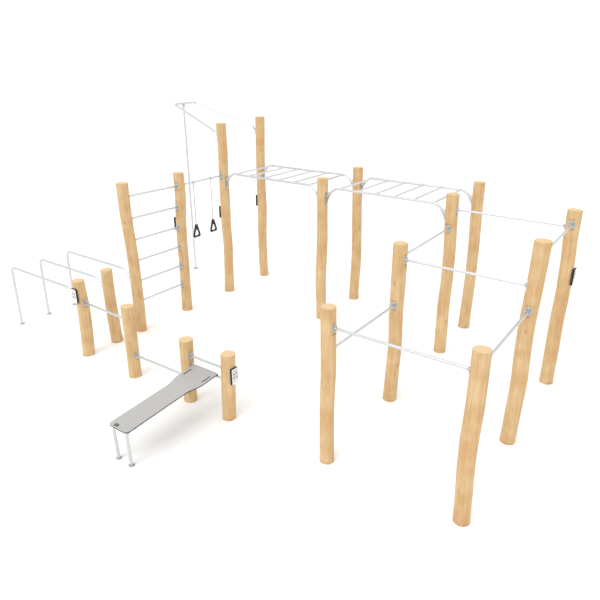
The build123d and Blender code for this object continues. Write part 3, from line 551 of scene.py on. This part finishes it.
def rounded_rectangle(width, height, corner, level, steps=5):
    """Points of a rectangle with round corners at local z = level."""
    points = []
    for turn, (sx, sy) in enumerate(((1, 1), (-1, 1), (-1, -1), (1, -1))):
        for step in range(steps + 1):
            angle = math.pi / 2 * (turn + step / steps)
            points.append((sx * (width / 2 - corner) + corner * math.cos(angle),
                           sy * (height / 2 - corner) + corner * math.sin(angle), level))
    return points


def add_plate(target, place, width, height, corner, base, thick, material=0):
    """Thin plate with round corners and a small chamfer, from local z = base up."""
    chamfer = min(0.3 * thick, 0.3 * corner)
    rings = [rounded_rectangle(width, height, corner, base),
             rounded_rectangle(width, height, corner, base + thick - chamfer),
             rounded_rectangle(width - 2 * chamfer, height - 2 * chamfer, corner - chamfer, base + thick)]
    add_rings(target, place, rings, material)


def dress(nodes, material):
    """Give model nodes one finish."""
    for name in nodes:
        slots = frame["nodes"][name].data.materials
        slots.clear()
        slots.append(material)


# ------------------------------------------------------------------ studio
class COURSE_OT_stage(Operator):
    """Set the pale floor, the soft light and the camera"""
    bl_idname = "course.stage"
    bl_label = "Set the stage"

    def execute(self, context):
        studio = context.scene.course_studio
        scene = context.scene
        lens = bpy.data.cameras.new("studio_camera")
        lens.lens = studio.lens
        lens.sensor_width = 36.0
        lens.clip_end = 200.0
        camera = bpy.data.objects.new("studio_camera", lens)
        camera.location = studio.camera_place
        camera.rotation_euler = (studio.camera_tilt, 0, studio.camera_turn)
        scene.collection.objects.link(camera)
        scene.camera = camera
        scene.view_settings.view_transform = "Standard"

        # Studio paper, matt: even white without gloss
        material, tree, shader = start_material("Studio paper, matt", Roughness=0.95)
        shader.inputs["Specular IOR Level"].default_value = 0.0
        place = add_node(tree, "TexCoord")
        cloud = add_node(tree, "TexNoise", {"Vector": place.outputs["Object"], "Scale": 0.4})
        paper = tuple(studio.floor_colour)
        tree.links.new(ramp(tree, cloud.outputs["Fac"], (
            (0.3, tuple(0.99 * c for c in paper)), (0.7, paper))), shader.inputs["Base Color"])
        sheet = bmesh.new()
        bmesh.ops.create_grid(sheet, x_segments=8, y_segments=8, size=FLOOR_REACH)
        mesh = bpy.data.meshes.new("studio_floor")
        sheet.to_mesh(mesh)
        sheet.free()
        mesh.materials.append(material)
        floor = bpy.data.objects.new("studio_floor", mesh)
        scene.collection.objects.link(floor)

        world = bpy.data.worlds.new("studio_sky")
        world.use_nodes = True
        sky = world.node_tree.nodes["Background"]
        sky.inputs["Color"].default_value = (1, 1, 1, 1)
        sky.inputs["Strength"].default_value = studio.sky
        scene.world = world
        key = bpy.data.lights.new("studio_key", "SUN")
        key.energy = studio.sun
        key.angle = studio.sun_width
        lamp = bpy.data.objects.new("studio_key", key)
        lamp.rotation_euler = studio.sun_turn
        scene.collection.objects.link(lamp)
        return {"FINISHED"}


# ------------------------------------------------------------------ ropes
class COURSE_OT_ropes(Operator):
    """Lay the two straight ropes that carry the hand grips"""
    bl_idname = "course.ropes"
    bl_label = "Lay the ropes"

    def execute(self, context):
        grips = context.scene.course_grips
        fibre = laid_rope_fibre(tuple(grips.rope))
        for side in SIDES:
            low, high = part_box(f"{side}_grip_rope")
            foot = Vector(((low.x + high.x) / 2, (low.y + high.y) / 2, low.z))
            top = Vector((foot.x, foot.y, high.z))
            lead = UP * 6 * grips.rope_diameter
            path = read_route(f"{side}_rope_route", [top, top - lead, foot + lead, foot])
            rope = lay_strands(f"{side}_rope", path, grips, fibre, f"{side}_hanger")
            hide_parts(f"{side}_grip_rope")
        return {"FINISHED"}


def read_route(name, points):
    """Points read along a smooth NURBS line through the route."""
    line = bpy.data.curves.new(name, "CURVE")
    line.dimensions = "3D"
    line.resolution_u = 80
    spline = line.splines.new("NURBS")
    spline.points.add(len(points) - 1)
    for point, at in zip(spline.points, points):
        point.co = (*at, 1)
    spline.order_u = 3
    spline.use_endpoint_u = True
    carrier = bpy.data.objects.new(name, line)
    bpy.context.scene.collection.objects.link(carrier)
    read = bpy.data.meshes.new_from_object(carrier)
    path = [vertex.co.copy() for vertex in read.vertices]
    bpy.data.objects.remove(carrier)
    bpy.data.curves.remove(line)
    bpy.data.meshes.remove(read)
    return path


def lay_strands(name, path, grips, material, body):
    """Three-strand rope along a path: a lobed section that turns once in every lay length."""
    radius = grips.rope_diameter / 2
    centre_off = 0.40 * radius
    strand = radius - centre_off
    rope = bmesh.new()
    fibre = rope.verts.layers.float_vector.new("fibre")
    travelled = 0.0
    loops = []
    yarn = 1.5 * MM
    for at, point in enumerate(path):
        travelled += (point - path[at - 1]).length if at else 0.0
        turn = 2 * math.pi * travelled / grips.rope_lay
        loop = []
        for step in range(ROPE_STEPS):
            angle = 2 * math.pi * step / ROPE_STEPS
            off = (angle + math.pi / 3) % (2 * math.pi / 3) - math.pi / 3
            reach = centre_off * math.cos(off) + math.sqrt(strand ** 2 - (centre_off * math.sin(off)) ** 2)
            corner = rope.verts.new(point + Vector((
                reach * math.cos(angle + turn), reach * math.sin(angle + turn), 0)))
            corner[fibre] = (reach * math.cos(angle) / yarn, reach * math.sin(angle) / yarn,
                             travelled / (12 * yarn))
            loop.append(corner)
        loops.append(loop)
    for low, high in zip(loops, loops[1:]):
        for at in range(ROPE_STEPS):
            beside = (at + 1) % ROPE_STEPS
            rope.faces.new((low[at], low[beside], high[beside], high[at]))
    rope.faces.new(reversed(loops[0]))
    rope.faces.new(loops[-1])
    bmesh.ops.recalc_face_normals(rope, faces=rope.faces)
    return finished(rope, name, body, [material], crease=70)


# ------------------------------------------------------------------ posts
class COURSE_OT_posts(Operator):
    """Shape the sanded logs with their milled flats"""
    bl_idname = "course.posts"
    bl_label = "Shape the posts"

    def execute(self, context):
        timber = context.scene.course_timber
        finishes = [robinia_log(timber), robinia_end(timber)]
        for index, name in enumerate(POSTS):
            log = shape_log(name, index, timber, finishes)
            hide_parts(name)
        return {"FINISHED"}


def shape_log(name, index, timber, finishes):
    """A post with waves, swellings and year rings; the milled flats stay flat."""
    log = marked_copy(name)
    low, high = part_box(name)
    top = middle_of([v.co for v in log.verts if v.co.z > high.z - 1 * MM])
    foot = middle_of([v.co for v in log.verts if v.co.z < low.z + 1 * MM])

    def heart(z):
        return foot.lerp(top, (z - low.z) / (high.z - low.z))

    slices = int((high.z - low.z) / timber.slice_height)
    cuts = [((0, 0, low.z + (high.z - low.z) * at / slices), (0, 0, 1)) for at in range(1, slices)]
    for at in range(timber.sectors):
        angle = math.pi * (at + 0.5) / timber.sectors
        cuts.append((foot.lerp(top, 0.5), (math.cos(angle), math.sin(angle), 0)))
    for point, normal in cuts:
        bmesh.ops.bisect_plane(log, geom=log.verts[:] + log.edges[:] + log.faces[:], dist=0.05 * MM,
                               plane_co=point, plane_no=normal)
    log.normal_update()
    milled = log.faces.layers.int["milled"]
    place = log.verts.layers.float_vector.new("timber_place")
    for corner in log.verts:
        here = corner.co - heart(corner.co.z)
        corner[place] = [at + step * index for at, step in zip((here.x, here.y, corner.co.z), PATTERN_STEP)]
    shifts = [0.0 if any(face[milled] for face in corner.link_faces)
              else log_wave(corner.co, index, timber.flute_depth) for corner in log.verts]
    for corner, shift in zip(log.verts, shifts):
        corner.co += corner.normal * shift
    for face in log.faces:
        if face.normal.z > 0.9 and face.calc_center_median().z > high.z - 20 * MM:
            face.material_index = 1
            for corner in face.verts:
                corner[place] = (corner.co.x - top.x, corner.co.y - top.y, corner[place][2])
    return finished(log, f"timber_{name}", "frame", finishes, crease=35)


def marked_copy(name):
    """A welded copy of a post whose plane faces, the milled and sawn ones, are marked."""
    data = frame["nodes"][name].data
    copy = bmesh.new()
    copy.from_mesh(data)
    milled = copy.faces.layers.int.new("milled")
    for face, polygon in zip(copy.faces, data.polygons):
        normals = [data.corner_normals[loop].vector for loop in polygon.loop_indices]
        face[milled] = int(all(normal.dot(normals[0]) > 0.99999 for normal in normals))
    bmesh.ops.remove_doubles(copy, verts=copy.verts, dist=0.01 * MM)
    return copy


def log_wave(point, index, depth):
    """In-and-out wave of the sanded surface: long flutes and a few soft swellings."""
    across, along = FLUTES
    flute = noise.noise(Vector((point.x * across, point.y * across, point.z * along + 9.0 * index)))
    across, along = SWELLS
    swell = noise.noise(Vector((point.x * across + 5.0 * index, point.y * across, point.z * along)))
    return depth * (0.55 * flute + 0.75 * swell - 0.35)


# ------------------------------------------------------------------ steel
class COURSE_OT_steel(Operator):
    """Finish the tubes and fittings and put in their screws"""
    bl_idname = "course.steel"
    bl_label = "Finish the steel"

    def execute(self, context):
        steel = context.scene.course_steel
        by_slot = {}
        for entry in frame["record"]["subparts"]:
            by_slot.setdefault(entry["material_slot"], []).append(entry["node"])
        dress(by_slot["galvanised_tube"], galvanised(
            "Steel tube, hot-dip galvanised", tuple(steel.tube), steel.spangle, 0.36))
        dress(by_slot["cast_fittings"], galvanised(
            "Steel plate, hot-dip galvanised", tuple(steel.plate), 1.4 * steel.spangle, 0.44))
        turned = stainless_turned(tuple(steel.bright))
        dress(by_slot["bright_fittings"], turned)
        screws = bmesh.new()
        for place in socket_screw_places(by_slot["galvanised_tube"], steel):
            add_button_head(screws, place, steel)
        finished(screws, "socket_screws", "frame", [turned])
        screws = bmesh.new()
        for place in bracket_screw_places(steel):
            add_button_head(screws, place, steel)
        finished(screws, "bracket_screws", "frame", [turned])
        return {"FINISHED"}


def socket_screw_places(tubes, steel):
    """Places of the two screws of each bar socket, one above and one below the bar's end."""
    places = []
    for name in tubes:
        if name.startswith(SWAN_NECKED) or name in ("bench_legs", "sliding_pole"):
            continue
        for part in loose_parts(name):
            corners = [c for _, _, _, cs in part for c in cs]
            centre = middle_of(corners)
            far = max(corners, key=lambda c: (c - centre).length)
            rough = (far - centre).normalized()
            reach = (far - centre).length - steel.end_reach
            ends = [middle_of([c for c in corners if sign * (c - centre).dot(rough) > reach])
                    for sign in (-1, 1)]
            along = (ends[1] - ends[0]).normalized()
            for end, way in zip(ends, (along, -along)):
                for sign in (-1, 1):
                    spot = end + UP * sign * steel.socket_spread
                    places.append(standing_frame(spot, way))
    return places


def bracket_screw_places(steel):
    """Places of the four screws of each bracket plate."""
    places = []
    for part in loose_parts("gusset_brackets"):
        inward, corners = widest_side(part)
        middle = middle_of(corners)
        line = max(c.z for c in corners) - steel.bracket_above
        seat = standing_frame(Vector((middle.x, middle.y, line)), -inward)
        for side in (-1, 1):
            for drop in steel.bracket_drops:
                spot = (side * steel.bracket_across, -drop, steel.plate_thickness)
                places.append(seat @ Matrix.Translation(spot))
    return places


# ------------------------------------------------------------------ bench
class COURSE_OT_bench(Operator):
    """Make the bench board with its rounded edges and plain label"""
    bl_idname = "course.bench"
    bl_label = "Make the bench board"

    def execute(self, context):
        bench = context.scene.course_bench
        # Compact laminate, pressed: even grey with a fine pearl grain that breaks up reflections
        face = grained("Compact laminate, pressed", tuple(bench.face), 0.42, 1.4 * MM, 0.15 * MM, 1.5, 0.94)
        # the sawn edge shows the laminate's near-black core, duller than the face
        core = grained("Compact laminate core, sawn", tuple(bench.core), 0.6, 0.8 * MM, 0.2 * MM, 1.5, 0.8)
        board = model_copy("bench_board")
        wide_faces = [f for f in board.faces if f.calc_area() > 100 * MM * MM]
        up = max(wide_faces, key=lambda f: f.normal.z).normal.copy()
        rims = [e for e in board.edges if is_rim(e, up)]
        bmesh.ops.bevel(board, geom=rims, offset=bench.edge, segments=3, profile=0.5, affect="EDGES",
                        clamp_overlap=True)
        for f in board.faces:
            f.material_index = 0 if f.normal.dot(up) > 0.85 else 1
        made = finished(board, "bench_panel", "frame", [face, core], crease=30)
        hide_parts("bench_board")
        add_label(bench, up, core)
        return {"FINISHED"}


def is_rim(edge, up):
    """Whether a sharp edge of the board bounds its top or its underside."""
    if len(edge.link_faces) != 2 or edge.calc_face_angle() <= math.radians(60):
        return False
    return any(abs(f.normal.dot(up)) > 0.99 for f in edge.link_faces) and edge.calc_length() > 1.2 * MM


def add_label(bench, up, dark):
    """Plain dark label with three light lines, flat on the board near its low end."""
    low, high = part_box("bench_board")
    along = UP.cross(up).cross(up).normalized()
    if along.y < 0:
        along = -along
    x_axis = along.cross(up)
    spot = Vector(((low.x + high.x) / 2 + bench.label_shift, low.y + bench.label_inset, 0))
    corner = max((v.co for v in frame["nodes"]["bench_board"].data.vertices), key=lambda c: c.dot(up))
    spot.z = (corner.dot(up) - spot.x * up.x - spot.y * up.y) / up.z
    place = Matrix.Translation(spot) @ Matrix((x_axis, along, up)).transposed().to_4x4()
    ink = grained("Screen ink, pale grey", linear("#B9BDBE"), 0.5, 0.9 * MM, 0.05 * MM, 1.5)
    label = bmesh.new()
    add_plate(label, place, bench.label_width, bench.label_height, 7 * MM, 0.0, 1.0 * MM)
    for width, rise in LABEL_LINES:
        line = place @ Matrix.Translation((0, rise * bench.label_height, 0))
        add_plate(label, line, width * bench.label_width, 0.09 * bench.label_height, 1.5 * MM,
                  1.0 * MM, 0.15 * MM, material=1)
    finished(label, "bench_label", "frame", [dark, ink])


# ------------------------------------------------------------------ signs
class COURSE_OT_signs(Operator):
    """Finish the six sign boards with plain marks"""
    bl_idname = "course.signs"
    bl_label = "Finish the signs"

    def execute(self, context):
        signs = context.scene.course_signs
        # ABS, moulded in a spark-eroded tool: black with a fine matt texture
        dress(["sign_backs"], grained("ABS, moulded", tuple(signs.shell), 0.48, 0.9 * MM, 0.12 * MM, 1.53))
        # Acrylic sheet, cast: smooth, bright and glossy
        dress(["sign_faces"], grained("Acrylic sheet, cast", tuple(signs.panel), 0.18, 30 * MM, 0.01 * MM,
                                      1.49, 0.985))
        ink = grained("Screen ink, grey", tuple(signs.ink), 0.45, 0.9 * MM, 0.05 * MM, 1.5)
        marks = bmesh.new()
        post_middles = [middle_of(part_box(name)) for name in POSTS]
        for part in loose_parts("sign_faces"):
            outward = widest_side(part)[0]
            middle = middle_of([c for _, _, _, cs in part for c in cs])
            nearest = min(post_middles, key=lambda at: (at - middle).to_2d().length)
            if outward.dot(middle - nearest) < 0:
                outward = -outward
            add_sign_marks(marks, standing_frame(middle, outward))
        finished(marks, "sign_marks", "frame", [ink])
        return {"FINISHED"}


def add_sign_marks(target, place):
    """Plain blocks and lines, with nothing to read."""
    front = 1.5 * MM
    thick = 0.25 * MM
    for x, y, width, height in SIGN_MARKS:
        corner = min(3.0, 0.45 * height) * MM
        spot = place @ Matrix.Translation((x * MM, y * MM, 0))
        add_plate(target, spot, width * MM, height * MM, corner, front, thick)


# ------------------------------------------------------------------ grips
class COURSE_OT_grips(Operator):
    """Mould the two rubber handles"""
    bl_idname = "course.grips"
    bl_label = "Mould the handles"

    def execute(self, context):
        grips = context.scene.course_grips
        # EPDM rubber, moulded: near-black, soft sheen, fine even grain
        rubber = grained("EPDM rubber, moulded", tuple(grips.rubber), 0.62, 1.1 * MM, 0.15 * MM, 1.52, 0.75)
        for side in SIDES:
            handle = mould_handle(side, grips, rubber)
            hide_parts(f"{side}_grip_handle")
        return {"FINISHED"}


def mould_handle(side, grips, rubber):
    """Handle with soft moulded edges and a ribbed head."""
    node = f"{side}_grip_handle"
    source = model_copy(node)
    rough = bpy.data.meshes.new("handle_rough")
    source.to_mesh(rough)
    source.free()
    carrier = bpy.data.objects.new("handle_rough", rough)
    bpy.context.scene.collection.objects.link(carrier)
    remesh = carrier.modifiers.new("skin", "REMESH")
    remesh.mode = "VOXEL"
    remesh.voxel_size = grips.skin
    soften = carrier.modifiers.new("soften", "SMOOTH")
    soften.factor = 0.5
    soften.iterations = 6
    shaped = bpy.data.meshes.new_from_object(carrier.evaluated_get(bpy.context.evaluated_depsgraph_get()))
    bpy.data.objects.remove(carrier)
    bpy.data.meshes.remove(rough)
    skin = bmesh.new()
    skin.from_mesh(shaped)
    bpy.data.meshes.remove(shaped)
    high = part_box(node)[1]
    start = high.z - grips.rib_start
    end = high.z - grips.rib_end
    skin.normal_update()
    for corner in skin.verts:
        share = (corner.co.z - start) / (end - start)
        if 0 < share < 1:
            fade = min(1.0, 6 * min(share, 1 - share))
            wave = 0.5 + 0.5 * math.cos(2 * math.pi * (corner.co.z - start) / grips.rib_pitch)
            corner.co -= corner.normal * grips.rib_height * fade * wave
    return finished(skin, f"{side}_handle_rubber", f"{side}_handle", [rubber], crease=60)


# ------------------------------------------------------------------ panel and run
STEPS = ("stage", "ropes", "posts", "steel", "bench", "signs", "grips")
SETTINGS = {
    "course_studio": StudioSettings, "course_timber": TimberSettings, "course_steel": SteelSettings,
    "course_bench": BenchSettings, "course_signs": SignSettings, "course_grips": GripSettings,
}


class COURSE_PT_panel(Panel):
    """Lists every step of the course and its settings"""
    bl_idname = "COURSE_PT_panel"
    bl_label = "Monkey-bar course"
    bl_space_type = "VIEW_3D"
    bl_region_type = "UI"
    bl_category = "Course"

    def draw(self, context):
        for step in STEPS:
            self.layout.operator(f"course.{step}")
        for group, kind in SETTINGS.items():
            box = self.layout.box()
            for name in kind.__annotations__:
                box.prop(getattr(context.scene, group), name)


CLASSES = (*SETTINGS.values(), COURSE_OT_stage, COURSE_OT_ropes, COURSE_OT_posts, COURSE_OT_steel,
           COURSE_OT_bench, COURSE_OT_signs, COURSE_OT_grips, COURSE_PT_panel)


def register():
    for kind in CLASSES:
        bpy.utils.register_class(kind)
    for name, kind in SETTINGS.items():
        setattr(bpy.types.Scene, name, PointerProperty(type=kind))


def unregister():
    for name in SETTINGS:
        delattr(bpy.types.Scene, name)
    for kind in reversed(CLASSES):
        bpy.utils.unregister_class(kind)


def main():
    register()
    for step in STEPS:
        getattr(bpy.ops.course, step)()


if __name__ == "__main__":
    main()
